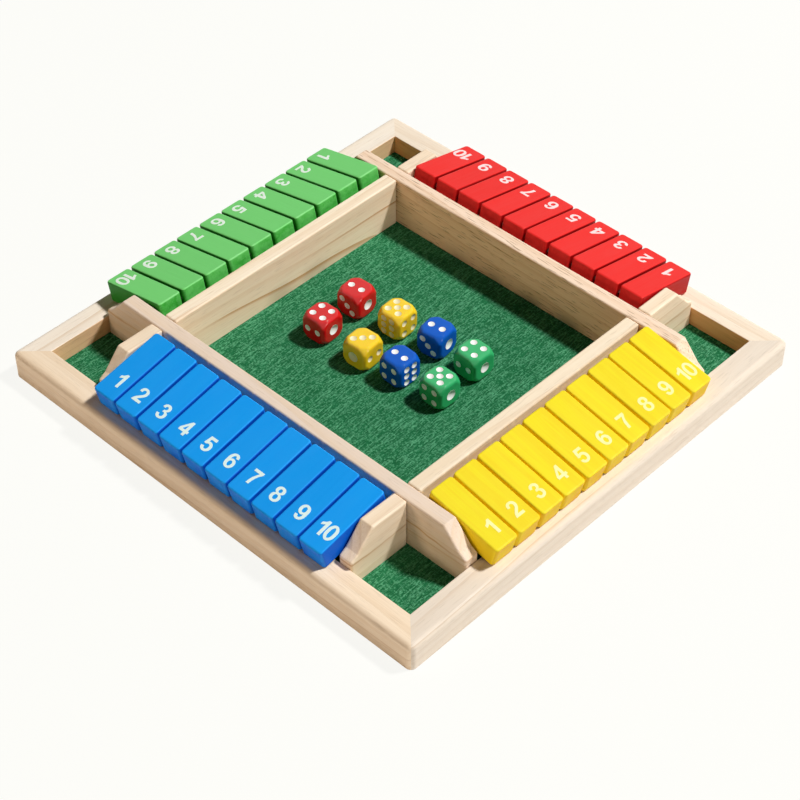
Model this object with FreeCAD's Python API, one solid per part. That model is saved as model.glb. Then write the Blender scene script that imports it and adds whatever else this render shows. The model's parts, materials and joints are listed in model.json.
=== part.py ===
import FreeCAD, Part
import math
import os

# Four-player number dice game: a square wooden tray with a felt-lined dice arena, four rows of
# number tiles that turn on rods, and eight dice.
# Frame: millimetres, +Z up, origin at the bottom centre of the tray. Seen from above, the blue row
# lies towards -Y, yellow +X, red +Y and green -X. Each row is modelled on the -Y side and turned.

# Number tiles
tile_count = 10
tile_width = 15.9
tile_thickness = 13.0
tile_ease = 1.0            # rounding of a tile's top and bottom edges
tile_corner = 2.0          # rounding of its upright edges
tile_gap = 1.25            # mean space between neighbours on the rod
tile_play = 0.15           # how far a tile has slid along its rod from an even spacing
tile_slope = 12.2          # degrees that a tile at rest slopes down outwards
tile_over_rail = 9.8       # how far a tile's outer end lies over the rail
tile_rest_gap = 0.3        # rounded lower edge of a resting tile above the rail
row_end_gap = 0.875        # space between the last tile and the end plate

# Pivot rods
rod_diameter = 3.0
rod_from_tile_end = 4.0    # rod axis to the tile's inner end
rod_bore_clearance = 0.1   # radial, tile on rod
rod_seat_clearance = 0.05  # radial, rod in its blind seat
rod_seat_depth = 5.0
rod_end_gap = 0.2
swing_clearance = 0.55     # tile's inner end to the wall as it swings past
wall_above_rod = 4.1       # rod axis to the top of the walls

# Arena walls and row end plates
wall_thickness = 9.0
wall_ease = 1.2
wall_joint_gap = 0.2       # short wall to long wall, plate to long wall, plate to rail
row_depth = 39.5           # clear space between an arena wall and the rail
plate_bevel = 10.6         # run of the bevel at the outer top corner of a plate
plate_bevel_drop = 12.0
plate_toe = 4.5            # run of the flatter face below the bevel, out to the plate's end
plate_toe_drop = 2.8
plate_round = 1.0          # rounding between the faces of the plate's outline

# Tray
rail_width = 15.5
rail_height = 17.0
rail_roundover = 3.2       # outer top edge
rail_corner = 3.5          # upright edges at the mitred corners
rail_ease = 0.6            # inner top edge
rabbet_depth = 6.0         # how far the base panel runs under the rails
panel_clearance = 0.25
base_thickness = 4.0
felt_thickness = 1.4
felt_clearance = 0.3

# Dice
die_side = 16.8
die_edge_round = 2.2
die_ball_share = 1.39      # radius of the ball that rounds the corners, over half the side
pip_radius = 2.05
pip_depth = 0.7
single_pip_radius = 3.2
single_pip_depth = 1.0
pip_spread = 3.65          # pip centres from the middle of a face
six_narrow = 2.85          # the two columns of a six from the middle
six_tall = 4.6             # the outer pips of a six's columns from the middle

# Where each die lies: centre x and y, a small turn in degrees, then the numbers of pips that face
# up, towards -Y and towards +X. Opposite faces add up to seven.
dice_as_thrown = {
    "die_red_1": (-46.9, -14.2, 2.7, 4, 2, 1),
    "die_red_2": (-47.9, 13.7, 4.0, 2, 3, 1),
    "die_yellow_1": (-19.4, 17.0, 2.7, 5, 6, 4),
    "die_yellow_2": (-15.8, -13.9, 3.7, 3, 1, 2),
    "die_blue_1": (8.3, -10.0, -1.6, 2, 4, 6),
    "die_blue_2": (7.1, 20.6, 7.2, 2, 3, 1),
    "die_green_1": (33.9, 21.4, -1.1, 4, 2, 1),
    "die_green_2": (35.3, -7.2, -0.8, 5, 4, 1),
}

# Rows in the order in which they are turned about the upright axis, a quarter turn each
row_colours = ("blue", "yellow", "red", "green")

# Places that follow from the sizes above
row_length = tile_count * tile_width + (tile_count - 1) * tile_gap + 2 * row_end_gap
arena_half = row_length / 2
wall_outer = arena_half + wall_thickness
rail_inner = wall_outer + row_depth
board_half = rail_inner + rail_width
felt_top = base_thickness + felt_thickness
slope = math.radians(tile_slope)
half_thick = tile_thickness / 2
swing_radius = math.hypot(rod_from_tile_end - tile_ease, half_thick - tile_ease) + tile_ease
rod_from_centre = wall_outer + swing_radius + swing_clearance
tile_reach = (rail_inner + tile_over_rail - rod_from_centre) / math.cos(slope)
rod_drop = (tile_reach - tile_ease) * math.sin(slope) + (half_thick - tile_ease) * math.cos(slope)
rod_height = rail_height + tile_rest_gap + tile_ease + rod_drop
wall_top = rod_height + wall_above_rod
rod_radius = rod_diameter / 2

X_AXIS = FreeCAD.Vector(1, 0, 0)
Y_AXIS = FreeCAD.Vector(0, 1, 0)
Z_AXIS = FreeCAD.Vector(0, 0, 1)
ORIGIN = FreeCAD.Vector(0, 0, 0)


def block(x0, x1, y0, y1, z0, z1):
    """Solid box between two corners."""
    return Part.makeBox(x1 - x0, y1 - y0, z1 - z0, FreeCAD.Vector(x0, y0, z0))


def prism(points, direction):
    """Solid made by pushing a closed outline along a vector."""
    return Part.Face(Part.makePolygon(points + points[:1])).extrude(direction)


def rounded(shape, radius, wanted):
    """Round the edges for which wanted(middle, direction) is true."""
    picked = []
    for edge in shape.Edges:
        middle = edge.CenterOfMass
        direction = edge.tangentAt((edge.FirstParameter + edge.LastParameter) / 2)
        if wanted(middle, direction):
            picked.append(edge)
    return shape.makeFillet(radius, picked)


def turned(shape, quarter_turns):
    """Copy of a shape turned about the upright axis through the tray's centre."""
    copy = shape.copy()
    copy.rotate(ORIGIN, Z_AXIS, 90 * quarter_turns)
    return copy


def near(value, target):
    """True where two lengths are the same."""
    return abs(value - target) < 1e-4


def tray_rails():
    """Four mitred rails, cut from one ring so that their rounded edges run on at the corners."""
    ring = block(-board_half, board_half, -board_half, board_half, 0, rail_height)
    ring = rounded(ring, rail_corner, lambda mid, way: abs(way.z) > 0.9)
    ring = rounded(ring, rail_roundover, lambda mid, way: near(mid.z, rail_height))
    ring = ring.cut(block(-rail_inner, rail_inner, -rail_inner, rail_inner, 0, rail_height))
    rabbet = rail_inner + rabbet_depth
    ring = ring.cut(block(-rabbet, rabbet, -rabbet, rabbet, 0, base_thickness))
    tip = [ORIGIN, FreeCAD.Vector(-2 * board_half, -2 * board_half, 0),
           FreeCAD.Vector(2 * board_half, -2 * board_half, 0)]
    rail = ring.common(prism(tip, Z_AXIS * rail_height)).Solids[0]
    rail = rounded(rail, rail_ease,
                   lambda mid, way: near(mid.y, -rail_inner) and near(mid.z, rail_height))
    return {"rail_" + colour: turned(rail, turn) for turn, colour in enumerate(row_colours)}


def base_panel():
    """Panel that sits in the rails' rabbets, flush with their underside."""
    half = rail_inner + rabbet_depth - panel_clearance
    return block(-half, half, -half, half, 0, base_thickness)


def felt_lining():
    """Felt on the base panel, from rail to rail."""
    half = rail_inner - felt_clearance
    return block(-half, half, -half, half, base_thickness, felt_top)


def outer_outline(end):
    """Points (distance, height) of a plate's outer end, from its foot up to its flat top."""
    bevel_foot = end - plate_toe
    bevel_height = wall_top - plate_bevel_drop
    return [(end, felt_top), (end, bevel_height - plate_toe_drop), (bevel_foot, bevel_height),
            (bevel_foot - plate_bevel, wall_top)]


def eased_plate(points, push):
    """Plate from an outline: its outer corners rounded, other edges eased, foot left square."""
    inner_end = wall_outer + wall_joint_gap

    def crosses(way):
        return abs(way.dot(push)) > 0.9 * push.Length

    def outer(mid):
        return max(abs(mid.x), abs(mid.y)) > inner_end + wall_ease

    plate = prism(points, push)
    plate = rounded(plate, plate_round,
                    lambda mid, way: crosses(way) and outer(mid) and not near(mid.z, felt_top))
    return rounded(plate, wall_ease,
                   lambda mid, way: not near(mid.z, felt_top) and not (crosses(way) and outer(mid)))


def rod_seats(quarter_turns):
    """Cutter for the two blind seats of one row's rod."""
    reach = arena_half + rod_seat_depth
    start = FreeCAD.Vector(-reach, -rod_from_centre, rod_height)
    return turned(Part.makeCylinder(rod_radius + rod_seat_clearance, 2 * reach, start, X_AXIS), quarter_turns)


def long_walls():
    """Two walls from rail to rail, with plate-shaped ends that seat the yellow and green rods."""
    outline = outer_outline(rail_inner - wall_joint_gap)
    right = [FreeCAD.Vector(across, -arena_half, height) for across, height in outline]
    left = [FreeCAD.Vector(-across, -arena_half, height) for across, height in reversed(outline)]
    wall = eased_plate(right + left, Y_AXIS * -wall_thickness)
    wall = wall.cut(rod_seats(1)).cut(rod_seats(3))
    return {"long_wall_blue": wall, "long_wall_red": turned(wall, 2)}


def short_walls():
    """Two walls butted between the long walls."""
    half = arena_half - wall_joint_gap
    wall = block(arena_half, wall_outer, -half, half, felt_top, wall_top)
    wall = rounded(wall, wall_ease, lambda mid, way: not near(mid.z, felt_top))
    return {"short_wall_yellow": wall, "short_wall_green": turned(wall, 2)}


def row_end_plates():
    """Four plates in line with the short walls, which seat the blue and red rods."""
    start = wall_outer + wall_joint_gap
    outline = [(start, felt_top)] + outer_outline(rail_inner - wall_joint_gap) + [(start, wall_top)]
    points = [FreeCAD.Vector(arena_half, -away, height) for away, height in outline]
    plate = eased_plate(points, X_AXIS * wall_thickness)
    plate = plate.cut(rod_seats(0))
    mirrored = plate.mirror(ORIGIN, X_AXIS)
    return Part.makeCompound([plate, mirrored, turned(plate, 2), turned(mirrored, 2)])


def pivot_rods():
    """Four rods, each held in the seats at the ends of its row."""
    half = arena_half + rod_seat_depth - rod_end_gap
    start = FreeCAD.Vector(-half, -rod_from_centre, rod_height)
    rod = Part.makeCylinder(rod_radius, 2 * half, start, X_AXIS)
    return Part.makeCompound([turned(rod, turn) for turn in range(len(row_colours))])


def blank_tile():
    """One tile at rest, with its rod axis through the origin and its outer end towards -Y."""
    tile = block(-tile_width / 2, tile_width / 2, -tile_reach, rod_from_tile_end, -half_thick, half_thick)
    tile = rounded(tile, tile_corner, lambda mid, way: abs(way.z) > 0.9)
    tile = rounded(tile, tile_ease, lambda mid, way: near(abs(mid.z), half_thick))
    bore = Part.makeCylinder(rod_radius + rod_bore_clearance, tile_width,
                             FreeCAD.Vector(-tile_width / 2, 0, 0), X_AXIS)
    tile = tile.cut(bore)
    tile.rotate(ORIGIN, X_AXIS, tile_slope)
    return tile


def number_tiles():
    """Ten tiles on each rod, 1 to 10 from left to right for a player on that side."""
    tile = blank_tile()
    tiles = {}
    for turn, colour in enumerate(row_colours):
        for number in range(1, tile_count + 1):
            even = (number - (tile_count + 1) / 2) * (tile_width + tile_gap)
            slid = tile_play * math.sin(2.4 * number + turn)
            copy = tile.copy()
            copy.translate(FreeCAD.Vector(even + slid, -rod_from_centre, rod_height))
            tiles[f"{colour}_tile_{number}"] = turned(copy, turn)
    return tiles


def pip_places(number):
    """Pip centres of one face, across and up from its middle."""
    if number == 6:
        return [(across, up) for across in (-six_narrow, six_narrow) for up in (-six_tall, 0, six_tall)]
    places = []
    if number % 2:
        places.append((0, 0))
    if number == 2:
        places += [(-pip_spread, 0), (pip_spread, 0)]
    if number >= 3:
        places += [(-pip_spread, pip_spread), (pip_spread, -pip_spread)]
    if number >= 4:
        places += [(-pip_spread, -pip_spread), (pip_spread, pip_spread)]
    return places


def dimple(number, normal, across, up, place):
    """Ball that leaves one round pip of the set depth on a face; a lone pip is wider and deeper."""
    rim, depth = (single_pip_radius, single_pip_depth) if number == 1 else (pip_radius, pip_depth)
    ball = (rim ** 2 + depth ** 2) / (2 * depth)
    centre = normal * (die_side / 2 - depth + ball) + across * place[0] + up * place[1]
    return Part.makeSphere(ball, centre)


def die(faces):
    """Die about the origin, with ball-cut corners, all edges well rounded, and six faces of pips.

    faces gives the numbers that face up, towards -Y and towards +X. The body is a smaller cube, cut
    by a ball and grown by the rounding, so that faces, edges and corners run into each other.
    """
    half = die_side / 2 - die_edge_round
    core = block(-half, half, -half, half, -half, half)
    core = core.common(Part.makeSphere(die_side / 2 * die_ball_share - die_edge_round))
    body = core.makeOffsetShape(die_edge_round, 1e-4, join=0)
    sides = ((Z_AXIS, X_AXIS, -Y_AXIS), (-Y_AXIS, X_AXIS, Z_AXIS), (X_AXIS, Y_AXIS, Z_AXIS))
    cutters = []
    for number, (normal, across, up) in zip(faces, sides):
        for shown, way in ((number, normal), (7 - number, -normal)):
            cutters += [dimple(shown, way, across, up, place) for place in pip_places(shown)]
    return body.cut(cutters)


def dice():
    """Eight dice lying on the felt."""
    placed = {}
    for name, (x, y, turn, *faces) in dice_as_thrown.items():
        cube = die(faces)
        cube.rotate(ORIGIN, Z_AXIS, turn)
        cube.translate(FreeCAD.Vector(x, y, felt_top + die_side / 2))
        placed[name] = cube
    return placed


def main():
    """Build every node and write one file for each."""
    nodes = {"base_panel": base_panel(), "felt_lining": felt_lining()}
    nodes.update(tray_rails())
    nodes.update(long_walls())
    nodes.update(short_walls())
    nodes["row_end_plates"] = row_end_plates()
    nodes["pivot_rods"] = pivot_rods()
    nodes.update(number_tiles())
    nodes.update(dice())
    os.makedirs("parts", exist_ok=True)
    for name, shape in nodes.items():
        if not shape.isValid():
            raise ValueError(name + " is not a valid solid")
        shape.exportStep(f"parts/{name}.step")
    print(len(nodes), "nodes, tray", 2 * board_half, "mm square, walls to", round(wall_top, 3), "mm")


main()
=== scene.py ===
"""Looks of a four-player number dice game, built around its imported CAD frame.

The wooden tray, its walls, the tiles and the dice keep their CAD solids and get procedural finishes.
The new pieces are the felt sheet, the numbers painted on the tiles and the paint in the dice's pips.
"""

import json
import logging
import math
from collections.abc import Iterable, Mapping, Sequence
from dataclasses import dataclass
from enum import Enum
from functools import lru_cache
from typing import NamedTuple

import bpy
from mathutils import Matrix, Vector


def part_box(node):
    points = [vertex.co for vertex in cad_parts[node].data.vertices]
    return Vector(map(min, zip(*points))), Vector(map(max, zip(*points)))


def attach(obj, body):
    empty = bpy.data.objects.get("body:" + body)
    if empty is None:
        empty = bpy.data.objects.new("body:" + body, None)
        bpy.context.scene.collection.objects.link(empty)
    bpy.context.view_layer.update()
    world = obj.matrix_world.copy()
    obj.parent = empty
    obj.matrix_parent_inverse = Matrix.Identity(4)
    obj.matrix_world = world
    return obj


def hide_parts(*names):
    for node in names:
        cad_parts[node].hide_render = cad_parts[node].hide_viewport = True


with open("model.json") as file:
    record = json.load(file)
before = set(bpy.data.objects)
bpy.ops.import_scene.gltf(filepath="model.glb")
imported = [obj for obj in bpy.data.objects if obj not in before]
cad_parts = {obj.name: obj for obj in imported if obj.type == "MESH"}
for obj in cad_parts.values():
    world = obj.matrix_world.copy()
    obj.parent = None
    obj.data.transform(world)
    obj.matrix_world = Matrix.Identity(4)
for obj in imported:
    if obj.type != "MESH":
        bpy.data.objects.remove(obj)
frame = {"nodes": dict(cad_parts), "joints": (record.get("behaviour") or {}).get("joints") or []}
LOG = logging.getLogger("dice_game")
MM = 0.001
TILE_NUMBERS = range(1, 11)
TILE_SLOPE = 12.2
SMOOTH_UNDER = math.radians(40)
GRID = 100.0

Colour = tuple[float, float, float]
Triple = tuple[float, float, float]
Span = tuple[float, float]
Socket = bpy.types.NodeSocket
NodeTree = bpy.types.NodeTree
Material = bpy.types.Material
Object = bpy.types.Object


class Row(Enum):
    """The four rows of tiles, by the quarter turns that bring the blue side round to each."""

    BLUE = 0
    YELLOW = 1
    RED = 2
    GREEN = 3

    @property
    def label(self) -> str:
        """Colour word used in the names of the row's pieces."""
        return self.name.lower()

    @property
    def degrees(self) -> float:
        """Angle about the upright axis from the blue side."""
        return 90.0 * self.value

    @property
    def turn(self) -> Matrix:
        """Turn about the upright axis from the blue side."""
        return Matrix.Rotation(math.radians(self.degrees), 4, "Z")


class Grain(Enum):
    """Which way the fibres of a board run, as the turn that brings them to the pattern's X axis."""

    ALONG_X = 0.0
    ALONG_Y = -90.0


# Wiring of shader nodes


def rgba(colour: Colour) -> tuple[float, float, float, float]:
    """Colour with full alpha, as colour sockets take it."""
    return (*colour, 1.0)


def scaled(colour: Colour, gain: float, lift: float = 0.0) -> Colour:
    """Colour times a gain and lifted, up to full."""
    return tuple(min(1.0, value * gain + lift) for value in colour)


class Bench:
    """Adds and wires the nodes of one shader tree."""

    def __init__(self, tree: NodeTree) -> None:
        """Keep the tree that the nodes go into."""
        self.tree = tree

    def add(self, kind: str, sockets: Mapping | None = None, **settings: object) -> bpy.types.Node:
        """Add one node.

        Args:
            kind: node type without its ShaderNode prefix.
            sockets: values or output sockets, by the name or number of the input.
            settings: properties of the node.
        Returns:
            The new node.
        """
        node = self.tree.nodes.new("ShaderNode" + kind)
        for name, value in settings.items():
            setattr(node, name, value)
        for key, value in (sockets or {}).items():
            if isinstance(value, Socket):
                self.tree.links.new(value, node.inputs[key])
            else:
                node.inputs[key].default_value = value
        return node

    def group(self, tree: NodeTree, **inputs: float | Socket) -> Mapping[str, Socket]:
        """Outputs of a node group whose inputs are named with underscores for spaces."""
        sockets = {label.replace("_", " "): value for label, value in inputs.items()}
        return self.add("Group", sockets, node_tree=tree).outputs

    def number(self, operation: str, *values: float | Socket) -> Socket:
        """Result of a Math node on the values."""
        return self.add("Math", dict(enumerate(values)), operation=operation).outputs[0]

    def vector(self, operation: str, first: Socket, second: Triple | Socket) -> Socket:
        """Result of a Vector Math node on two vectors."""
        return self.add("VectorMath", {0: first, 1: second}, operation=operation).outputs[0]

    def axes(self, vector: Socket) -> Mapping[str, Socket]:
        """The parts of a vector along X, Y and Z."""
        return self.add("SeparateXYZ", {0: vector}).outputs

    def remap(self, value: Socket, low: float, high: float, to_low: float = 0.0,
              to_high: float = 1.0) -> Socket:
        """Smooth step of a value from the range low to high on to the range to_low to to_high."""
        sockets = {"Value": value, 1: low, 2: high, 3: to_low, 4: to_high}
        return self.add("MapRange", sockets, interpolation_type="SMOOTHSTEP").outputs[0]

    def mix(self, factor: float | Socket, under: object, over: object, blend: str = "MIX") -> Socket:
        """Mix of two colours or sockets, where the factor is the share of the one laid over."""
        under, over = (value if isinstance(value, Socket) else rgba(value) for value in (under, over))
        return self.add("Mix", {0: factor, 6: under, 7: over}, data_type="RGBA", blend_type=blend).outputs[2]

    def lay(self, under: object, over: object, mask: Socket, share: float) -> Socket:
        """Colour with a share of another laid over it where a mask is."""
        return self.mix(self.number("MULTIPLY", mask, share), under, over)

    def noise(self, vector: Socket, stretch: Triple, detail: float = 2.0, distortion: float = 0.0,
              output: str = "Fac") -> Socket:
        """Noise on stretched coordinates.

        Args:
            vector: coordinates in metres.
            stretch: cycles per metre along each axis.
            detail: octaves of finer noise.
            distortion: how far the noise folds itself.
            output: Fac for a value or Color for three.
        Returns:
            Noise about 0.5.
        """
        where = self.vector("MULTIPLY", vector, stretch)
        sockets = {"Vector": where, "Scale": 1.0, "Detail": detail, "Distortion": distortion}
        return self.add("TexNoise", sockets).outputs[output]

    def bend(self, vector: Socket, stretch: Triple, detail: float, reach: float | Socket) -> Socket:
        """Coordinates pushed about by noise.

        Args:
            vector: coordinates in metres.
            stretch: cycles per metre along each axis.
            detail: octaves of finer noise.
            reach: metres between the noise's furthest pushes.
        Returns:
            The bent coordinates.
        """
        push = self.vector("SUBTRACT", self.noise(vector, stretch, detail, output="Color"), (0.5, 0.5, 0.5))
        push = self.add("VectorMath", {0: push, "Scale": reach}, operation="SCALE").outputs[0]
        return self.vector("ADD", vector, push)

    def place(self, shift: Triple = (0, 0, 0), turn: Triple = (0, 0, 0)) -> Socket:
        """Object coordinates in another frame.

        Args:
            shift: metres added after the turn.
            turn: degrees about each axis.
        Returns:
            The coordinates.
        """
        where = self.add("TexCoord").outputs["Object"]
        angles = tuple(math.radians(angle) for angle in turn)
        return self.add("Mapping", {"Vector": where, "Location": shift, "Rotation": angles}).outputs[0]


class Effect:
    """A shader node group on coordinates, with named inputs and outputs."""

    def __init__(self, name: str, outputs: Sequence[str], inputs: Sequence[str] = ()) -> None:
        """Make the empty group.

        Args:
            name: name of the group.
            outputs: names of the values that it puts out.
            inputs: names of the values that it takes beside its Vector.
        """
        self.tree = bpy.data.node_groups.new(name, "ShaderNodeTree")
        self.tree.interface.new_socket("Vector", in_out="INPUT", socket_type="NodeSocketVector")
        for way, labels in (("INPUT", inputs), ("OUTPUT", outputs)):
            for label in labels:
                self.tree.interface.new_socket(label, in_out=way, socket_type="NodeSocketFloat")
        self.bench = Bench(self.tree)
        self.inputs = self.tree.nodes.new("NodeGroupInput").outputs
        self.end = self.tree.nodes.new("NodeGroupOutput")

    def give(self, **values: Socket) -> NodeTree:
        """Wire the outputs.

        Args:
            values: what each output gives, named with underscores for spaces.
        Returns:
            The finished group.
        """
        for label, socket in values.items():
            self.tree.links.new(socket, self.end.inputs[label.replace("_", " ")])
        return self.tree


@lru_cache
def pine_grain() -> NodeTree:
    """Growth rings and fibres of a board whose grain runs along X and whose pith lies on the X axis.

    Returns:
        The node group.
    """
    effect = Effect("pine_grain", ("Rings", "Lines", "Fibres", "Flecks", "Tone", "Height"),
                    ("Ring Scale", "Wander"))
    bench, where = effect.bench, effect.inputs["Vector"]
    bent = bench.bend(where, (5.0, 22.0, 22.0), detail=1.5, reach=effect.inputs["Wander"])
    saw = bench.add("TexWave", {"Vector": bent, "Scale": effect.inputs["Ring Scale"], "Distortion": 0.0},
                    wave_type="RINGS", rings_direction="X", wave_profile="SAW").outputs["Fac"]
    rings = bench.remap(saw, 0.35, 0.96)
    strong = bench.remap(bench.noise(where, (3.0, 55.0, 55.0), detail=1.0), 0.48, 0.62)
    lines = bench.number("MULTIPLY", bench.remap(saw, 0.80, 0.97), strong)
    fibres = bench.remap(bench.noise(where, (28.0, 900.0, 900.0), detail=3.0), 0.3, 0.7)
    flecks = bench.remap(bench.noise(where, (95.0, 1300.0, 1300.0), detail=1.0), 0.60, 0.72)
    tone = bench.remap(bench.noise(where, (6.0, 30.0, 30.0)), 0.25, 0.75)
    ring_rise = 0.5
    height = bench.number("MULTIPLY_ADD", rings, ring_rise, fibres)
    return effect.give(Rings=rings, Lines=lines, Fibres=fibres, Flecks=flecks, Tone=tone, Height=height)


@lru_cache
def paint_on_wood() -> NodeTree:
    """Streaks, a tone for each tile, painted shade in the gaps between tiles and a painted highlight along
    their top edges, in a row's frame.

    X runs along the row from the middle of the rod, Y along the tiles and Z out of their faces.

    Returns:
        The node group.
    """
    effect = Effect("paint_on_wood", ("Streaks", "Cloud", "Tile Tone", "Top", "Flanks", "Edges", "Height"),
                    ("Tile Pitch",))
    bench, where = effect.bench, effect.inputs["Vector"]
    broad = bench.noise(where, (260.0, 14.0, 260.0), distortion=0.4)
    fine = bench.noise(where, (1100.0, 45.0, 1100.0))
    fine_share, cloud_rise = 0.45, 0.6
    streaks = bench.remap(bench.number("MULTIPLY_ADD", fine, fine_share, broad), 0.52, 0.92)
    cloud = bench.remap(bench.noise(where, (90.0, 60.0, 90.0), detail=3.0), 0.3, 0.7)
    axes = bench.axes(where)
    tiles = bench.number("DIVIDE", axes["X"], effect.inputs["Tile Pitch"])
    whole = bench.number("FLOOR", tiles)
    tone = bench.add("TexWhiteNoise", {"W": whole}, noise_dimensions="1D").outputs["Value"]
    middle = 0.5
    aside = bench.number("ABSOLUTE", bench.number("SUBTRACT", bench.number("FRACT", tiles), middle))
    # mask of the painted shade in the gaps between tiles
    flanks = bench.remap(aside, 0.435, 0.46)
    outer_end = bench.remap(axes["Y"], -41.6 * MM, -41.9 * MM)
    inner_end = bench.remap(axes["Y"], 3.0 * MM, 3.4 * MM)
    # mask of the painted highlight along the tops' edges, in patches
    rim = bench.number("MAXIMUM", bench.remap(aside, 0.405, 0.45), outer_end)
    rim = bench.number("MAXIMUM", rim, inner_end)
    highlight_patches = bench.remap(bench.noise(where, (120.0, 120.0, 120.0), detail=3.0), 0.35, 0.6)
    # mask of the tops; the faces below them take the painted shade
    top = bench.remap(axes["Z"], 5.5 * MM, 6.2 * MM)
    edges = bench.number("MULTIPLY", bench.number("MULTIPLY", rim, top), highlight_patches)
    height = bench.number("MULTIPLY_ADD", cloud, cloud_rise, streaks)
    return effect.give(Streaks=streaks, Cloud=cloud, Tile_Tone=tone, Top=top, Flanks=flanks, Edges=edges,
                       Height=height)


@lru_cache
def moulded_surface() -> NodeTree:
    """Faint clouding and hairline scuffs of polished plastic, thick paint or steel.

    Returns:
        The node group.
    """
    effect = Effect("moulded_surface", ("Cloud", "Scuffs", "Height"))
    bench, where = effect.bench, effect.inputs["Vector"]
    cloud = bench.remap(bench.noise(where, (180.0, 180.0, 180.0), detail=3.0), 0.3, 0.7)
    scratches = bench.noise(where, (260.0, 2600.0, 900.0), distortion=0.6)
    scuffs = bench.remap(scratches, 0.56, 0.74)
    height = bench.noise(where, (420.0, 420.0, 420.0))
    return effect.give(Cloud=cloud, Scuffs=scuffs, Height=height)


@lru_cache
def felt_fibres() -> NodeTree:
    """One layer of felt fibres that lie roughly along X, with gaps between them.

    Returns:
        The node group.
    """
    effect = Effect("felt_fibres", ("Fibres",))
    bench = effect.bench
    bent = bench.bend(effect.inputs["Vector"], (260.0, 260.0, 260.0), detail=1.0, reach=0.5 * MM)
    strands = bench.noise(bent, (110.0, 1450.0, 1450.0), detail=1.0)
    return effect.give(Fibres=bench.remap(strands, 0.56, 0.70))


# Finishes


class Surface(Bench):
    """Bench of one new material."""

    def __init__(self, name: str) -> None:
        """Make the empty material.

        Args:
            name: name of the material.
        """
        self.material = bpy.data.materials.new(name)
        self.material.use_nodes = True
        self.material.node_tree.nodes.clear()
        super().__init__(self.material.node_tree)

    def done(self, colour: Socket, roughness: Socket, height: Socket, depth: float, specular: float,
             **values: object) -> Material:
        """Wire a Principled shader.

        Args:
            colour: base colour.
            roughness: roughness over the surface.
            height: relief from 0 to 1.
            depth: metres that a relief of 1 stands for.
            specular: level of the mirrored light.
            values: other values of the shader, named with underscores for spaces.
        Returns:
            The finished material.
        """
        bump = self.add("Bump", {"Height": height, "Strength": 1.0, "Distance": depth}).outputs[0]
        sockets = {label.replace("_", " "): value for label, value in values.items()}
        sockets |= {"Base Color": colour, "Roughness": roughness, "Normal": bump,
                    "Specular IOR Level": specular}
        self.add("OutputMaterial", {"Surface": self.add("BsdfPrincipled", sockets).outputs[0]})
        return self.material


@dataclass(frozen=True)
class PineFinish:
    """Bare sanded pine of one wooden node.

    pith is where the centre of the growth rings lies in the board's own frame, with X along the grain,
    lean is how far, in degrees, the rings run out of true, and seam is the height of a glue line.
    The last tint is painted shade: it makes the face turned to the felt, which lies nearer to the tray's
    middle than the limit given with it, darker and browner than the top.
    """

    node: str
    grain: Grain
    pith: Triple
    lean: Span = (1.0, 0.6)
    ring_gap: float = 3.4 * MM
    wander: float = 9.0 * MM
    early: Colour = (0.94, 0.79, 0.61)
    late: Colour = (0.80, 0.60, 0.40)
    ring_strength: float = 0.40
    line_strength: float = 0.35
    line_tint: Colour = (0.78, 0.64, 0.48)
    fleck_strength: float = 0.20
    fleck_shade: float = 0.55
    fibre_strength: float = 0.18
    tone_strength: float = 0.45
    tone_gain: float = 1.07
    seam: float | None = None
    # painted shade on the face turned to the felt, and how near the tray's middle that face lies
    aged: Colour = (1.0, 1.0, 1.0)
    aged_within: float = 0.0
    aged_fade: float = 0.15 * MM
    roughness: Span = (0.50, 0.62)
    relief: float = 0.05 * MM
    specular: float = 0.2

    def material(self) -> Material:
        """Make the board's material.

        Returns:
            The material.
        """
        bench = Surface("pine_" + self.node)
        shift = tuple(-value for value in self.pith)
        where = bench.place(shift, (0.0, self.lean[0], self.grain.value + self.lean[1]))
        wave_cycles = math.tau / 20
        rings = wave_cycles / self.ring_gap
        out = bench.group(pine_grain(), Vector=where, Ring_Scale=rings, Wander=self.wander)
        brown = tuple(value * tint for value, tint in zip(self.late, self.line_tint))
        colour = bench.lay(self.early, self.late, out["Rings"], self.ring_strength)
        colour = bench.lay(colour, scaled(self.early, self.tone_gain), out["Tone"], self.tone_strength)
        fibres = bench.remap(out["Fibres"], 0.0, 1.0, 0.0, self.fibre_strength)
        colour = bench.mix(fibres, colour, self.late)
        colour = bench.lay(colour, brown, out["Lines"], self.line_strength)
        colour = bench.lay(colour, scaled(self.late, self.fleck_shade), out["Flecks"], self.fleck_strength)
        if self.seam is not None:
            colour = bench.mix(self.seam_mask(bench, self.seam), colour, brown)
        # painted shade: a darker, browner tint on the face turned to the felt
        across = bench.axes(bench.place(turn=(0.0, 0.0, self.grain.value)))["Y"]
        across = bench.number("ABSOLUTE", across)
        inside = bench.remap(across, self.aged_within, self.aged_within - self.aged_fade)
        colour = bench.mix(inside, colour, self.aged, "MULTIPLY")
        roughness = bench.remap(out["Fibres"], 0.0, 1.0, *self.roughness)
        return bench.done(colour, roughness, out["Height"], self.relief, self.specular)

    def seam_mask(self, bench: Bench, height: float) -> Socket:
        """Mask of a level brown line that wavers and fades along the board.

        Args:
            bench: bench of the material.
            height: height of the line.
        Returns:
            Share of the line's colour.
        """
        where = bench.place()
        patches = bench.noise(where, (30.0, 30.0, 4.0), detail=1.0)
        waver = bench.noise(where, (45.0, 45.0, 10.0))
        waver = bench.remap(waver, 0.0, 1.0, to_low=-1.6 * MM, to_high=1.6 * MM)
        level = bench.number("ADD", bench.axes(where)["Z"], waver)
        away = bench.number("ABSOLUTE", bench.number("SUBTRACT", level, height))
        line = bench.remap(away, 0.25 * MM, 0.95 * MM, to_low=1.0, to_high=0.0)
        fade = bench.remap(patches, 0.30, 0.60, to_low=0.30, to_high=0.85)
        return bench.number("MULTIPLY", line, fade)


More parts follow.
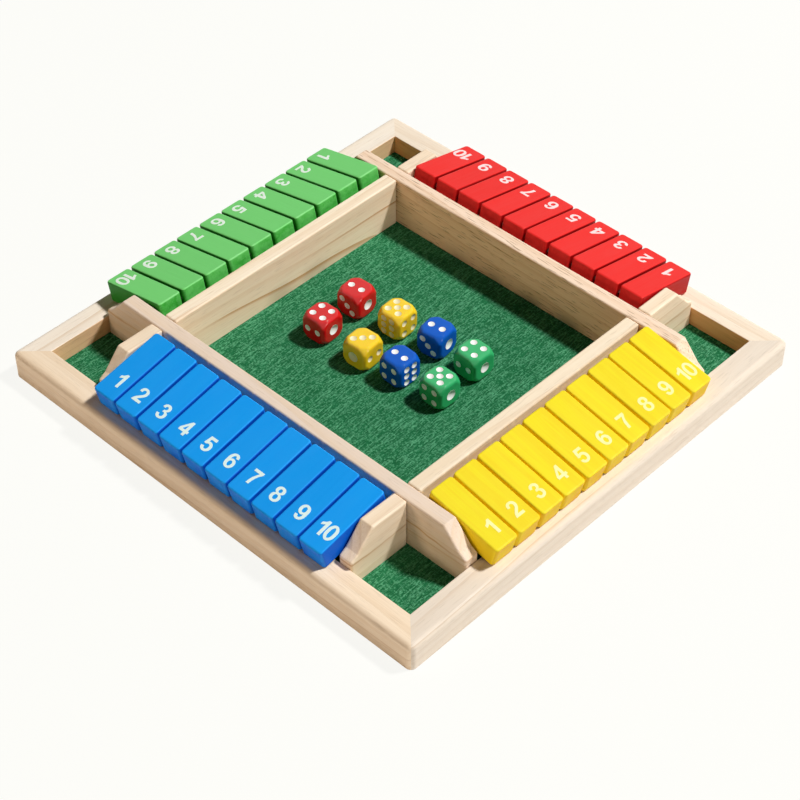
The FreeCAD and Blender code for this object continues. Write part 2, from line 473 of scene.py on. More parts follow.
@dataclass(frozen=True)
class PaintFinish:
    """Satin paint on the wooden tiles of one row.

    sides is a deeper colour for the faces below the tops: painted shade that makes them look less lit than
    the tops. The gap colour is painted shade in the gaps between tiles. Each pair of a gain and a lift makes
    a paler colour from the main one; the one along the tops' edges is a painted highlight.
    """

    row: Row
    colour: Colour
    streak: Colour
    # painted shade: colour of the faces below the tops
    sides: Colour
    # painted shade: colour in the gaps between tiles
    flanks: Colour
    streak_strength: float
    # painted highlight: share of the paler colour along the tops' edges
    rubbing: float
    tile_pitch: float = 17.15 * MM
    rod_height: float = 32.434 * MM
    rod_from_centre: float = 102.815 * MM
    tone_strength: float = 0.35
    tone_gain: float = 0.86
    cloud_strength: float = 0.35
    cloud_pale: Span = (0.98, 0.012)
    # painted highlight: gain and lift of the paler colour along the tops' edges
    rubbed_pale: Span = (0.72, 0.27)
    roughness: Span = (0.38, 0.5)
    relief: float = 0.04 * MM
    specular: float = 0.13

    def in_row(self, bench: Bench) -> Socket:
        """Bring object coordinates to the row's frame.

        Args:
            bench: bench of the material.
        Returns:
            Coordinates with the rod on the X axis and Z out of the tiles.
        """
        turned = bench.place(turn=(0.0, 0.0, -self.row.degrees))
        at_rod = bench.vector("SUBTRACT", turned, (0.0, -self.rod_from_centre, self.rod_height))
        angles = (math.radians(-TILE_SLOPE), 0.0, 0.0)
        return bench.add("Mapping", {"Vector": at_rod, "Rotation": angles}).outputs[0]

    def material(self) -> Material:
        """Make the row's material.

        Returns:
            The material.
        """
        bench = Surface("paint_" + self.row.label)
        out = bench.group(paint_on_wood(), Vector=self.in_row(bench), Tile_Pitch=self.tile_pitch)
        # painted shade: the faces below the top take the darker sides colour
        colour = bench.mix(out["Top"], self.sides, self.colour)
        colour = bench.lay(colour, self.streak, out["Streaks"], self.streak_strength)
        colour = bench.lay(colour, scaled(self.colour, self.tone_gain), out["Tile Tone"], self.tone_strength)
        colour = bench.lay(colour, scaled(self.colour, *self.cloud_pale), out["Cloud"], self.cloud_strength)
        # painted highlight: paler colour along the tops' edges
        colour = bench.lay(colour, scaled(self.colour, *self.rubbed_pale), out["Edges"], self.rubbing)
        # painted shade: darker colour in the gaps between tiles
        colour = bench.mix(out["Flanks"], colour, self.flanks)
        roughness = bench.remap(out["Streaks"], 0.0, 1.0, *self.roughness)
        return bench.done(colour, roughness, out["Height"], self.relief, self.specular)


@dataclass(frozen=True)
class MouldedFinish:
    """Smooth plastic, thick paint or steel, clouded with a second shade."""

    name: str
    colour: Colour
    shade: Colour
    specular: float = 0.5
    translucence: float = 0.0
    light_reach: float = 5.0 * MM
    light_tint: Colour = (1.0, 0.4, 0.05)
    metallic: float = 0.0
    cloud_strength: float = 1.0
    roughness: Span = (0.42, 0.58)
    relief: float = 0.01 * MM

    def material(self) -> Material:
        """Make the material.

        Returns:
            The material.
        """
        bench = Surface(self.name)
        out = bench.group(moulded_surface(), Vector=bench.place())
        colour = bench.lay(self.colour, self.shade, out["Cloud"], self.cloud_strength)
        roughness = bench.remap(out["Scuffs"], 0.0, 1.0, *self.roughness)
        return bench.done(colour, roughness, out["Height"], self.relief, self.specular,
                          Metallic=self.metallic, Subsurface_Weight=self.translucence,
                          Subsurface_Radius=self.light_tint, Subsurface_Scale=self.light_reach)


@dataclass(frozen=True)
class PlasticFinish(MouldedFinish):
    """Polished plastic of one colour of dice, through which some light may pass."""

    cloud_strength: float = 0.5
    roughness: Span = (0.07, 0.15)
    relief: float = 0.012 * MM


@dataclass(frozen=True)
class WhitePaintFinish(MouldedFinish):
    """Opaque light paint of the numbers or the pips."""

    colour: Colour = (0.975, 0.985, 0.985)
    shade: Colour = (0.935, 0.945, 0.945)
    specular: float = 0.25
    cloud_strength: float = 0.35
    roughness: Span = (0.42, 0.54)
    relief: float = 0.03 * MM


@dataclass(frozen=True)
class SteelFinish(MouldedFinish):
    """Dull dark steel of the pivot rods."""

    name: str = "rod_steel"
    colour: Colour = (0.20, 0.20, 0.19)
    shade: Colour = (0.16, 0.16, 0.152)
    metallic: float = 1.0


@dataclass(frozen=True)
class FeltFinish:
    """Pressed wool felt: short fibres lying in several directions over a darker ground."""

    ground: Colour = (0.012, 0.122, 0.045)
    body: Colour = (0.019, 0.168, 0.067)
    fibre: Colour = (0.140, 0.485, 0.268)
    directions: tuple[float, ...] = (-92.0, -85.0, -99.0)
    layer_shift: Triple = (0.013, 0.007, 0.0)
    fibre_strength: float = 0.60
    fibre_rise: float = 0.7
    light_grit: float = 0.55
    dark_grit: float = 0.65
    roughness: Span = (0.95, 0.85)
    relief: float = 0.30 * MM
    specular: float = 0.04

    def fibres(self, bench: Bench) -> Socket:
        """Layers of fibres laid over each other, one in each direction.

        Args:
            bench: bench of the material.
        Returns:
            Mask of the fibres.
        """
        layers: Socket | None = None
        for number, angle in enumerate(self.directions):
            shift = tuple(value * number for value in self.layer_shift)
            turned = bench.place(shift, (0.0, 0.0, angle))
            layer = bench.group(felt_fibres(), Vector=turned)["Fibres"]
            layers = layer if layers is None else bench.number("MAXIMUM", layers, layer)
        return layers

    def material(self) -> Material:
        """Make the felt.

        Returns:
            The material.
        """
        bench = Surface("green_felt")
        where, layers = bench.place(), self.fibres(bench)
        mottle = bench.remap(bench.noise(where, (95.0, 95.0, 95.0), detail=4.0), 0.15, 0.75)
        grit = bench.noise(where, (1050.0, 1050.0, 1050.0), detail=1.0)
        light = bench.remap(grit, 0.50, 0.72, to_high=self.light_grit)
        dark = bench.remap(grit, 0.30, 0.50, to_low=self.dark_grit, to_high=0.0)
        colour = bench.mix(mottle, self.ground, self.body)
        colour = bench.lay(colour, self.fibre, layers, self.fibre_strength)
        colour = bench.mix(light, colour, self.fibre)
        colour = bench.mix(dark, colour, self.ground)
        height = bench.number("MULTIPLY_ADD", layers, self.fibre_rise, grit)
        roughness = bench.remap(layers, 0.0, 1.0, *self.roughness)
        return bench.done(colour, roughness, height, self.relief, self.specular)


# Modelling tools


def deselect_all() -> None:
    """Leave edit mode and clear the selection."""
    if bpy.context.object and bpy.context.object.mode != "OBJECT":
        bpy.ops.object.mode_set(mode="OBJECT")
    bpy.ops.object.select_all(action="DESELECT")


def select_only(*pieces: Object) -> None:
    """Select some objects and nothing else.

    Args:
        pieces: what is selected, the first one active.
    """
    deselect_all()
    for piece in pieces:
        piece.select_set(True)
    bpy.context.view_layer.objects.active = pieces[0]


def apply_modifiers(piece: Object) -> None:
    """Apply every modifier in order.

    Args:
        piece: object with the modifiers.
    """
    select_only(piece)
    for modifier in list(piece.modifiers):
        bpy.ops.object.modifier_apply(modifier=modifier.name)


def apply_place(piece: Object) -> None:
    """Move a piece's place into its mesh, so that its object sits at the origin."""
    select_only(piece)
    bpy.ops.object.transform_apply(location=True, rotation=True, scale=True)


def tidy_shell(piece: Object, merge: float) -> None:
    """Merge doubled points and turn all faces outwards.

    Args:
        piece: mesh object.
        merge: points closer than this, in metres, become one.
    """
    select_only(piece)
    bpy.ops.object.mode_set(mode="EDIT")
    bpy.ops.mesh.select_all(action="SELECT")
    bpy.ops.mesh.remove_doubles(threshold=merge)
    bpy.ops.mesh.normals_make_consistent(inside=False)
    bpy.ops.object.mode_set(mode="OBJECT")


def copy_of(model: Object, name: str, place: Matrix) -> Object:
    """Copy of a model with its own mesh, put in place.

    Args:
        model: object to copy.
        name: name of the copy.
        place: where the copy goes.
    Returns:
        The copy.
    """
    copy = model.copy()
    copy.data = model.data.copy()
    copy.name = name
    copy.data.name = name
    bpy.context.scene.collection.objects.link(copy)
    copy.matrix_world = place
    return copy


def dress(piece: Object, material: Material) -> None:
    """Give a piece one material."""
    piece.data.materials.clear()
    piece.data.materials.append(material)


# Sub-assemblies


@dataclass
class Tray:
    """The wooden tray: rails, base panel, arena walls, row end plates and pivot rods, all from CAD."""

    rail_ring_gap: float = 4.6 * MM
    wall_ring_gap: float = 4.8 * MM
    # how near the tray's middle the faces with painted shade lie
    rail_aged_within: float = 134.7 * MM
    wall_aged_within: float = 86.3 * MM

    def boards(self) -> list[PineFinish]:
        """Choose the finish of each wooden node.

        Returns:
            The finishes.
        """
        along_x, along_y = Grain.ALONG_X, Grain.ALONG_Y
        rail, wall = self.rail_ring_gap, self.wall_ring_gap
        in_rail, in_wall = self.rail_aged_within, self.wall_aged_within
        # the inner-face tints below are painted shade on the faces turned to the felt
        return [
            PineFinish("rail_blue", along_x, (0.02, -0.118, -0.030), (0.9, 1.1), rail,
                       early=(0.95, 0.785, 0.605)),
            PineFinish("rail_red", along_x, (0.0, 0.170, -0.045), (-0.8, 0.6), rail,
                       early=(0.93, 0.81, 0.67), late=(0.82, 0.65, 0.48),
                       aged=(1.0, 0.60, 0.33), aged_within=in_rail),
            PineFinish("rail_yellow", along_y, (0.0, -0.172, -0.040), (0.7, -0.8), rail,
                       early=(0.82, 0.725, 0.625), late=(0.72, 0.60, 0.48)),
            PineFinish("rail_green", along_y, (0.0, 0.115, -0.040), (-0.9, 0.9), rail,
                       early=(0.97, 0.87, 0.76), late=(0.86, 0.71, 0.56),
                       aged=(1.0, 0.74, 0.51), aged_within=in_rail),
            PineFinish("long_wall_blue", along_x, (0.0, -0.060, -0.012), (1.2, 0.8), wall,
                       early=(0.84, 0.695, 0.585), seam=21.5 * MM),
            PineFinish("long_wall_red", along_x, (0.0, 0.060, 0.004), (-0.6, 1.0), wall,
                       early=(0.95, 0.755, 0.60), late=(0.72, 0.47, 0.28), fleck_strength=0.8,
                       line_strength=0.25, aged=(0.98, 0.865, 0.745), aged_within=in_wall),
            PineFinish("short_wall_yellow", along_y, (0.0, -0.120, -0.010), (1.0, 0.7), wall,
                       early=(0.95, 0.82, 0.645)),
            PineFinish("short_wall_green", along_y, (0.0, 0.066, 0.006), (1.6, 1.4), 7.4 * MM, 15.0 * MM,
                       early=(1.0, 0.86, 0.69), late=(0.82, 0.58, 0.37), line_strength=0.9,
                       aged=(1.0, 0.93, 0.885), aged_within=in_wall),
            PineFinish("row_end_plates", along_y, (0.0, 0.0, -0.060), (2.0, 1.2), wall,
                       early=(0.95, 0.79, 0.615), seam=20.0 * MM),
            PineFinish("base_panel", along_x, (0.0, 0.35, -0.22), (0.2, 1.5), 7.5 * MM,
                       early=(0.72, 0.54, 0.36), late=(0.56, 0.38, 0.22)),
        ]

    def dress(self) -> None:
        """Give every node of the tray its finish."""
        for finish in self.boards():
            dress(frame["nodes"][finish.node], finish.material())
            LOG.info("%s: pine", finish.node)
        dress(frame["nodes"]["pivot_rods"], SteelFinish().material())
        LOG.info("pivot_rods: steel")


@dataclass
class FeltLining:
    """The felt sheet on the base panel, slightly uneven, in place of its CAD solid."""

    spacing: float = 2.0 * MM
    unevenness: float = 0.25 * MM
    thickness: float = 1.1 * MM
    nap_size: float = 7.0 * MM
    clearance: float = 0.02 * MM

    def build(self) -> None:
        """Model the sheet from a grid, raise its nap a little and give it a thickness."""
        low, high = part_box("felt_lining")
        width, length = high.x - low.x, high.y - low.y
        steps = round(width / self.spacing)
        deselect_all()
        level = high.z - self.unevenness / 2 - self.clearance
        bpy.ops.mesh.primitive_grid_add(x_subdivisions=steps, y_subdivisions=steps, size=width,
                                        location=(0, 0, level))
        sheet = bpy.context.object
        sheet.name = "felt_sheet"
        clouds = bpy.data.textures.new("felt_nap", "CLOUDS")
        clouds.noise_scale = self.nap_size
        nap = sheet.modifiers.new("nap", "DISPLACE")
        nap.texture = clouds
        nap.strength = self.unevenness
        wall = sheet.modifiers.new("thickness", "SOLIDIFY")
        wall.thickness = self.thickness
        wall.offset = -1.0
        apply_modifiers(sheet)
        apply_place(sheet)
        bpy.ops.object.shade_smooth_by_angle(angle=SMOOTH_UNDER)
        dress(sheet, FeltFinish().material())
        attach(sheet, "tray")
        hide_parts("felt_lining")
        LOG.info("felt_sheet: %d squares each way", steps)


class Knot(NamedTuple):
    """One point of a number's outline, on a grid where a number is GRID high."""

    x: float
    y: float
    smooth: bool = True


Outline = tuple[Knot, ...]


def outline(points: str) -> Outline:
    """Outline from its points.

    Args:
        points: the points as x,y with spaces between them and a star after each sharp corner.
    Returns:
        The knots.
    """
    pairs = [(point.rstrip("*").split(","), point.endswith("*")) for point in points.split()]
    return tuple(Knot(float(x), float(y), not sharp) for (x, y), sharp in pairs)


def numeral_outlines() -> dict[str, tuple[Outline, ...]]:
    """Outlines of plain bold numerals, each with its counters after a slash, drawn for this game.

    Returns:
        The outlines by figure.
    """
    drawn = {
        "0": "33,101 57,87 66,50 57,13 33,-1 9,13 0,50 9,87 / 33,85.5 43,76 46.5,50 43,24 33,14.5 23,24 "
             "19.5,50 23,76",
        "1": "25,0* 44.5,0* 44.5,100* 29,100* 17.5,85.5 0,76* 0,58.5* 13,63.5 25,71.5*",
        "2": "0,0* 66,0* 66,17.5* 28.5,17.5* 34,25 48,38 61,54 66,71.5 57,92.5 34,101 11.5,93 1.5,69.5* "
             "20.5,67.5* 24,80.5 33.5,85.5 43.5,82 47,71.5 43,58.5 27,42 8.5,22",
        "3": "0,27* 18.5,29.5* 22.5,18 32,14 42.5,18.5 46.5,30.5 42.5,42 33,46.5 24,45* 26,60.5* 38,64 "
             "42.5,73.5 39.5,81.5 31.5,85 23,81.5 19,71.5* 1.5,74.5* 10,92.5 32,101 54,92.5 61.5,75 57,62 "
             "47.5,54.5* 60.5,46 66,30.5 56.5,8 32,-1 9.5,6.5",
        "4": "39,0* 57.5,0* 57.5,20* 69.5,20* 69.5,37* 57.5,37* 57.5,100* 41.5,100* -1,37* -1,20* 39,20* / "
             "39,37* 39,71* 16.5,37*",
        "5": "1,26* 20,28* 24.5,17.5 33.5,14 44,19 48,33 44,46.5 33.5,51 25,49 18,43.5* 3,46* 12.5,99* "
             "63,99* 63,81* 27,81* 24,64* 37.5,67 58,57.5 67.5,34 57.5,9 33.5,-1 10.5,6.5",
        "6": "64,75* 46,73* 42,82 34.5,85.5 24,78 19.5,57* 27,63 38,65.5 58.5,56 67,33 57.5,8.5 35,-1 "
             "10,10 0.5,48 10.5,89 36,101 55,94.5 / 21.5,33 25.5,19 35,13.5 44.5,18.5 48,32 44.5,45.5 "
             "35,50.5 25.5,46",
        "7": "1.5,81* 1.5,99* 66,99* 66,85* 49.5,61.5 38.5,30 34.5,0* 15,0* 23,41 43.5,81*",
        "8": "16.5,54* 5.5,62.5 2.5,74 10.5,93 33,101 55.5,93 63.5,74 60.5,62.5 49.5,54* 61.5,44.5 66,29.5 "
             "57,7.5 33,-1 9,7.5 0,29.5 4.5,44.5 / 33,85.5 41.5,82 44.5,73 41.5,64.5 33,61 24.5,64.5 "
             "21.5,73 24.5,82 / 33,46.5 43,42 47,30 43,18 33,13.5 23,18 19,30 23,42",
    }
    figures = {key: tuple(outline(points) for points in drawing.split("/")) for key, drawing in drawn.items()}
    six_width = 67.5
    figures["9"] = tuple(tuple(Knot(six_width - x, GRID - y, smooth) for x, y, smooth in knots)
                         for knots in figures["6"])
    return figures


class Lettering(NamedTuple):
    """How one row's numbers were stencilled, in thin paint that takes a tint from the tiles under it.

    from_rod is their distance from the rod down the tile's face, and asides is how far each number is
    from the middle of its tile, towards the higher numbers. Both are in millimetres.
    """

    from_rod: float
    asides: tuple[float, ...]
    colour: Colour
    shade: Colour


@dataclass
class NumberPaint:
    """The numbers from 1 to 10, painted on the tiles near their outer ends."""

    height: float = 9.4 * MM
    film: float = 0.11 * MM
    letter_gap: float = 8.0
    merge: float = 0.005 * MM
    knot_steps: int = 6
    half_tile: float = 6.5 * MM

    def letterings(self) -> dict[Row, Lettering]:
        """List how the numbers were painted.

        Returns:
            The letterings by row.
        """
        return {
            Row.BLUE: Lettering(30.0, (0.9, 0.3, 0.6, 0.9, 0.7, 0.4, 0.3, -0.2, 0.3, 0.9),
                                (0.80, 0.99, 0.99), (0.72, 0.95, 0.97)),
            Row.YELLOW: Lettering(30.5, (0.9, 0.5, 0.3, 0.4, 0.2, 0.3, 0.1, 0.3, 0.0, 0.2),
                                  (0.95, 0.90, 0.46), (0.93, 0.82, 0.16)),
            Row.RED: Lettering(30.9, (0.1, 0.2, 0.4, 0.3, 0.5, 0.4, 0.6, 0.5, 0.8, 0.9),
                               (0.93, 0.77, 0.78), (0.90, 0.67, 0.68)),
            Row.GREEN: Lettering(33.6, (0.3, 0.1, 0.4, 0.2, 0.5, 0.1, 0.3, 0.4, 0.2, 0.3),
                                 (0.87, 1.0, 0.91), (0.80, 0.96, 0.82)),
        }

    def model(self, number: int) -> Object:
        """Model one number about the origin, lying flat and reading along X.

        Args:
            number: number to draw.
        Returns:
            A thin closed mesh.
        """
        drawing = bpy.data.curves.new(f"number_{number}", "CURVE")
        drawing.dimensions = "2D"
        drawing.fill_mode = "BOTH"
        drawing.resolution_u = self.knot_steps
        drawing.extrude = self.film
        outlines = numeral_outlines()
        start = 0.0
        for figure in str(number):
            for knots in outlines[figure]:
                self.draw(drawing, knots, start)
            start += max(knot.x for knot in outlines[figure][0]) + self.letter_gap
        scale = self.height / GRID
        width = start - self.letter_gap
        piece = bpy.data.objects.new(drawing.name, drawing)
        bpy.context.scene.collection.objects.link(piece)
        piece.location = (-width * scale / 2, -self.height / 2, 0.0)
        piece.scale = (scale, scale, 1.0)
        select_only(piece)
        bpy.ops.object.convert(target="MESH")
        piece = bpy.context.object
        apply_place(piece)
        tidy_shell(piece, self.merge)
        return piece

    def draw(self, drawing: bpy.types.Curve, knots: Outline, start: float) -> None:
        """Add one closed outline to a drawing.

        Args:
            drawing: curve that takes it.
            knots: its knots in order.
            start: shift along X, on the outline's grid.
        """
        spline = drawing.splines.new("BEZIER")
        spline.bezier_points.add(len(knots) - 1)
        spline.use_cyclic_u = True
        for point, knot in zip(spline.bezier_points, knots):
            point.co = (knot.x + start, knot.y, 0.0)
            kind = "AUTO" if knot.smooth else "VECTOR"
            point.handle_left_type = kind
            point.handle_right_type = kind

    def place(self, row: Row, number: int, hinge: Mapping) -> Matrix:
        """Where a number lies on its tile at rest.

        Args:
            row: row of the tile.
            number: number on the tile.
            hinge: the tile's joint, whose position is on its rod.
        Returns:
            Place of the number's middle, with Z out of the tile's face.
        """
        on_rod = row.turn.inverted() @ Vector(hinge["pos_m"])
        slope = Matrix.Rotation(math.radians(TILE_SLOPE), 4, "X")
        lettering = self.letterings()[row]
        aside = lettering.asides[number - 1] * MM
        face = Matrix.Translation((aside, -lettering.from_rod * MM, self.half_tile))
        return row.turn @ Matrix.Translation(on_rod) @ slope @ face

    def build(self) -> None:
        """Model each number once and copy it on to the four rows."""
        paints = {row: WhitePaintFinish(f"number_white_{row.label}", look.colour, look.shade).material()
                  for row, look in self.letterings().items()}
        hinges = {joint["child"]: joint for joint in frame["joints"]}
        for number in TILE_NUMBERS:
            model = self.model(number)
            for row in Row:
                tile = f"{row.label}_tile_{number}"
                piece = copy_of(model, f"{row.label}_number_{number}", self.place(row, number, hinges[tile]))
                apply_place(piece)
                dress(piece, paints[row])
                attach(piece, tile)
                LOG.info("%s rides on %s", piece.name, tile)
            bpy.data.objects.remove(model)


@dataclass
class TileRow:
    """Ten painted tiles on one rod, from CAD."""

    finish: PaintFinish

    def dress(self) -> None:
        """Paint the row's tiles."""
        paint = self.finish.material()
        for number in TILE_NUMBERS:
            dress(frame["nodes"][f"{self.finish.row.label}_tile_{number}"], paint)
        LOG.info("%s tiles painted", self.finish.row.label)


class Throw(NamedTuple):
    """How a die lies: a small turn in degrees, and the pips facing up, towards -Y and towards +X."""

    turn: float
    up: int
    front: int
    right: int


@dataclass
class DiceSet:
    """Eight dice from CAD, with paint in their round pips."""

    side: float = 16.8 * MM
    pip_radius: float = 2.05 * MM
    pip_depth: float = 0.7 * MM
    single_pip_radius: float = 3.2 * MM
    single_pip_depth: float = 1.0 * MM
    pip_spread: float = 3.65 * MM
    six_narrow: float = 2.85 * MM
    six_tall: float = 4.6 * MM
    paint_film: float = 0.02 * MM
    paint_thickness: float = 0.06 * MM
    pip_segments: int = 28
    pip_rings: int = 36
    opposite_sum: int = 7
    pip_roughness: Span = (0.3, 0.42)

    def throws(self) -> dict[str, Throw]:
        """List how each die lies.

        Returns:
            The throws by die.
        """
        return {
            "die_red_1": Throw(2.7, 4, 2, 1),
            "die_red_2": Throw(4.0, 2, 3, 1),
            "die_yellow_1": Throw(2.7, 5, 6, 4),
            "die_yellow_2": Throw(3.7, 3, 1, 2),
            "die_blue_1": Throw(-1.6, 2, 4, 6),
            "die_blue_2": Throw(7.2, 2, 3, 1),
            "die_green_1": Throw(-1.1, 4, 2, 1),
            "die_green_2": Throw(-0.8, 5, 4, 1),
        }

    def plastics(self) -> dict[str, PlasticFinish]:
        """Choose the plastic of each colour of dice.

        Returns:
            The finishes by colour.
        """
        return {
            "red": PlasticFinish("die_plastic_red", (0.71, 0.010, 0.012), (0.63, 0.008, 0.010), 0.42),
            "yellow": PlasticFinish("die_plastic_yellow", (1.0, 0.68, 0.022), (1.0, 0.62, 0.016), 0.36, 0.2),
            "blue": PlasticFinish("die_plastic_blue", (0.004, 0.115, 0.62), (0.003, 0.095, 0.54), 0.14),
            "green": PlasticFinish("die_plastic_green", (0.036, 0.50, 0.175), (0.028, 0.43, 0.145), 0.42),
        }

    def pip_places(self, number: int) -> list[tuple[float, float]]:
        """Pip centres of one face.

        Args:
            number: number of pips on the face.
        Returns:
            Distances across and up from the face's middle.
        """
        if number == 6:
            return [(across, up) for across in (-self.six_narrow, self.six_narrow)
                    for up in (-self.six_tall, 0.0, self.six_tall)]
        far = self.pip_spread
        places = [(0.0, 0.0)] if number % 2 else []
        if number == 2:
            places += [(-far, 0.0), (far, 0.0)]
        if number >= 3:
            places += [(-far, far), (far, -far)]
        if number >= 4:
            places += [(-far, -far), (far, far)]
        return places

    def pip_model(self, radius: float, depth: float) -> Object:
        """Model the paint that lines one pip, with the die's face at Z 0.

        Args:
            radius: radius of the pip's rim.
            depth: depth of its middle.
        Returns:
            A thin closed bowl.
        """
        ball = (radius ** 2 + depth ** 2) / (2 * depth)
        deselect_all()
        bpy.ops.mesh.primitive_uv_sphere_add(segments=self.pip_segments, ring_count=self.pip_rings,
                                             radius=ball - self.paint_film, location=(0, 0, ball - depth))
        bowl = bpy.context.object
        apply_place(bowl)
        bpy.ops.object.mode_set(mode="EDIT")
        bpy.ops.mesh.select_all(action="SELECT")
        bpy.ops.mesh.bisect(plane_co=(0, 0, -self.paint_film), plane_no=(0, 0, 1), clear_outer=True)
        bpy.ops.object.mode_set(mode="OBJECT")
        film = bowl.modifiers.new("film", "SOLIDIFY")
        film.thickness = self.paint_thickness
        film.offset = 1.0
        apply_modifiers(bowl)
        bpy.ops.object.shade_smooth_by_angle(angle=SMOOTH_UNDER)
        return bowl

    def pip_matrices(self, throw: Throw) -> Iterable[tuple[int, Matrix]]:
        """Number and place of every pip of a die, about its middle.

        Args:
            throw: how the die lies.
        Returns:
            The number of the pip's face and the pip's place, one pip after another.
        """
        x_axis, y_axis, z_axis = Matrix.Identity(3)
        sides = ((throw.up, z_axis, x_axis, -y_axis), (throw.front, -y_axis, x_axis, z_axis),
                 (throw.right, x_axis, y_axis, z_axis))
        for number, normal, across, up in sides:
            for shown, way in ((number, normal), (self.opposite_sum - number, -normal)):
                face = Matrix((across, way.cross(across), way)).transposed().to_4x4()
                for right, high in self.pip_places(shown):
                    middle = way * (self.side / 2) + across * right + up * high
                    yield shown, Matrix.Translation(middle) @ face

    def build(self) -> None:
        """Dress the dice and line their pips with paint."""
        plastics = {colour: finish.material() for colour, finish in self.plastics().items()}
        white = WhitePaintFinish("pip_white", roughness=self.pip_roughness).material()
        cream = WhitePaintFinish("pip_cream", (0.93, 0.84, 0.55), (0.86, 0.74, 0.42),
                                 roughness=self.pip_roughness).material()
        small = self.pip_model(self.pip_radius, self.pip_depth)
        single = self.pip_model(self.single_pip_radius, self.single_pip_depth)
        for name, throw in self.throws().items():
            colour = name.split("_")[1]
            dress(frame["nodes"][name], plastics[colour])
            low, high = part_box(name)
            lie = Matrix.Translation((low + high) / 2) @ Matrix.Rotation(math.radians(throw.turn), 4, "Z")
            bowls = [copy_of(single if shown == 1 else small, f"{name}_pips", lie @ place)
                     for shown, place in self.pip_matrices(throw)]
            for bowl in bowls:
                dress(bowl, cream if colour == "yellow" else white)
            select_only(*bowls)
            bpy.ops.object.join()
            pips = bpy.context.object
            apply_place(pips)
            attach(pips, name)
            LOG.info("%s: plastic and %d pips", name, len(bowls))
        bpy.data.objects.remove(small)
        bpy.data.objects.remove(single)


@dataclass(frozen=True)
class Lamp:
    """A round area light that points at the middle of the tray."""

    name: str
    power: float
    size: float
    place: Triple
    colour: Colour

    def hang(self) -> None:
        """Make the light."""
        data = bpy.data.lights.new(self.name, "AREA")
        data.shape = "DISK"
        data.size = self.size
        data.energy = self.power
        data.color = self.colour
        lamp = bpy.data.objects.new(self.name, data)
        lamp.location = self.place
        lamp.rotation_euler = (-Vector(self.place)).to_track_quat("-Z", "Y").to_euler()
        bpy.context.scene.collection.objects.link(lamp)


def seen_rays(bench: Bench) -> Socket:
    """Tell rays that bring the camera its picture, mirrored ones too, from rays that only light.

    Args:
        bench: bench of the shader.
    Returns:
        1 for the first kind of ray and 0 for the second.
    """
    path = bench.add("LightPath").outputs
    mirrored = bench.number("MAXIMUM", path["Is Glossy Ray"], path["Is Transmission Ray"])
    return bench.number("MAXIMUM", path["Is Camera Ray"], mirrored)


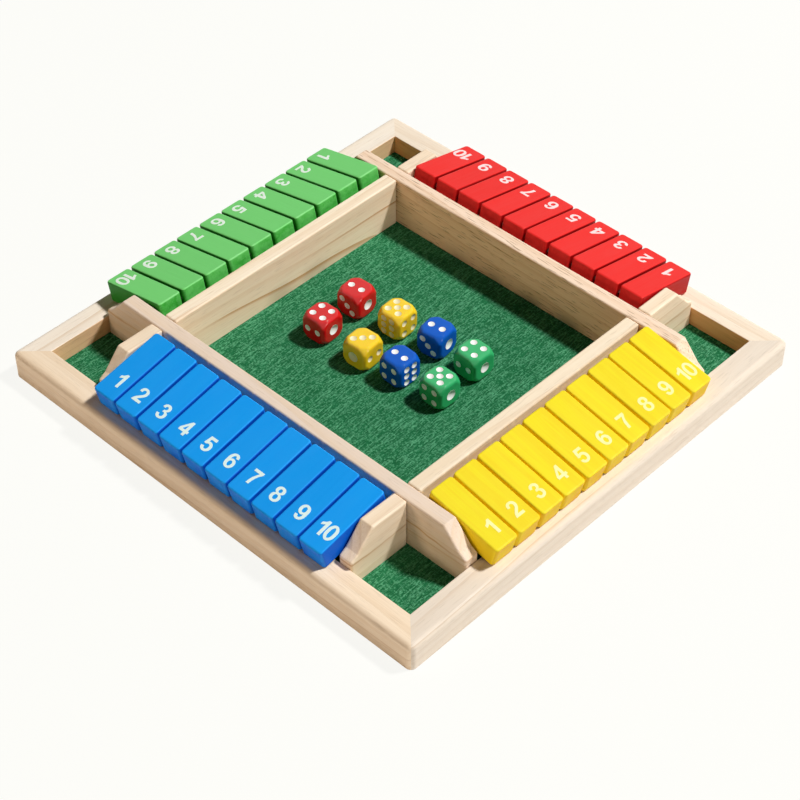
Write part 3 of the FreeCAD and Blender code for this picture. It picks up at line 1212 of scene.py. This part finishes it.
@dataclass
class Studio:
    """Pale floor, soft light and the camera at the viewing angle."""

    azimuth: float = 43.78
    elevation: float = 43.97
    distance: float = 1111.27 * MM
    target: Triple = (16.696 * MM, -18.604 * MM, 0.0)
    lens: float = 92.15
    floor_size: float = 14.0
    floor_drop: float = 0.2 * MM
    sky_strength: float = 0.022
    sky_colour: Colour = (1.0, 0.84, 0.64)
    seen_sky: Colour = (1.0, 1.0, 0.97)
    seen_floor: Colour = (1.0, 1.0, 0.965)
    seen_floor_share: float = 0.9
    floor_colour: Colour = (0.88, 0.88, 0.86)
    sensor: float = 36.0
    clip: Span = (0.01, 50.0)
    key: Lamp = Lamp("key", 108.0, 0.36, (1.08, 1.36, 2.68), (1.0, 0.985, 0.95))
    side: Lamp = Lamp("side", 5.5, 0.5, (1.75, -0.25, 0.47), (1.0, 0.93, 0.84))
    front: Lamp = Lamp("front", 7.8, 0.4, (-0.35, -1.88, 0.38), (1.0, 0.74, 0.50))

    def camera(self) -> None:
        """Make the camera."""
        side, rise = math.radians(self.azimuth), math.radians(self.elevation)
        back = Vector((math.sin(side) * math.cos(rise), -math.cos(side) * math.cos(rise), math.sin(rise)))
        data = bpy.data.cameras.new("camera")
        data.lens = self.lens
        data.sensor_width = self.sensor
        data.clip_start, data.clip_end = self.clip
        camera = bpy.data.objects.new("camera", data)
        camera.location = Vector(self.target) + back * self.distance
        camera.rotation_euler = (-back).to_track_quat("-Z", "Y").to_euler()
        bpy.context.scene.collection.objects.link(camera)
        bpy.context.scene.camera = camera

    def floor(self) -> None:
        """Make the pale floor: near white to the camera, and keeping a soft shadow."""
        deselect_all()
        bpy.ops.mesh.primitive_plane_add(size=self.floor_size, location=(0, 0, -self.floor_drop))
        floor = bpy.context.object
        floor.name = "floor"
        bench = Surface("floor_white")
        lit = bench.add("BsdfDiffuse", {"Color": rgba(self.floor_colour)})
        bright = bench.add("Emission", {"Color": rgba(self.seen_floor), "Strength": 1.0})
        share = bench.number("MULTIPLY", seen_rays(bench), self.seen_floor_share)
        shader = bench.add("MixShader", {0: share, 1: lit.outputs[0], 2: bright.outputs[0]})
        bench.add("OutputMaterial", {"Surface": shader.outputs[0]})
        dress(floor, bench.material)

    def world(self) -> None:
        """Make the surrounding light: a faint warm fill on the pieces, and white to the camera."""
        world = bpy.data.worlds.new("studio")
        world.use_nodes = True
        world.node_tree.nodes.clear()
        bench = Bench(world.node_tree)
        fill = bench.add("Background", {"Color": rgba(self.sky_colour), "Strength": self.sky_strength})
        white = bench.add("Background", {"Color": rgba(self.seen_sky), "Strength": 1.0})
        shader = bench.add("MixShader", {0: seen_rays(bench), 1: fill.outputs[0], 2: white.outputs[0]})
        bench.add("OutputWorld", {"Surface": shader.outputs[0]})
        bpy.context.scene.world = world

    def build(self) -> None:
        """Set up the whole studio."""
        self.camera()
        self.floor()
        self.world()
        for lamp in (self.key, self.side, self.front):
            lamp.hang()
        bpy.context.scene.view_settings.view_transform = "Standard"
        LOG.info("studio ready")


def tile_paints() -> list[PaintFinish]:
    """Choose the paint of each row.

    Returns:
        The four paints.
    """
    return [
        # each row: paint, streak, painted shade below the tops, painted shade in the gaps, streak strength
        # and painted edge highlight
        PaintFinish(Row.BLUE, (0.008, 0.347, 0.99), (0.012, 0.39, 1.0), (0.002, 0.145, 0.82),
                    (0.003, 0.115, 0.68), 0.30, 0.0),
        PaintFinish(Row.YELLOW, (0.885, 0.755, 0.016), (0.85, 0.60, 0.008), (0.86, 0.47, 0.006),
                    (1.0, 0.74, 0.014), 0.60, 0.10),
        PaintFinish(Row.RED, (0.84, 0.027, 0.024), (0.87, 0.038, 0.034), (0.62, 0.008, 0.008),
                    (0.41, 0.004, 0.005), 0.35, 0.0),
        PaintFinish(Row.GREEN, (0.185, 0.695, 0.188), (0.218, 0.73, 0.225), (0.038, 0.385, 0.036),
                    (0.022, 0.24, 0.020), 0.30, 0.22),
    ]


def main() -> None:
    """Build the pieces in order."""
    logging.basicConfig(level=logging.INFO, format="%(message)s")
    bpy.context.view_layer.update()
    Tray().dress()
    for paint in tile_paints():
        TileRow(paint).dress()
    FeltLining().build()
    NumberPaint().build()
    DiceSet().build()
    Studio().build()


if __name__ == "__main__":
    main()
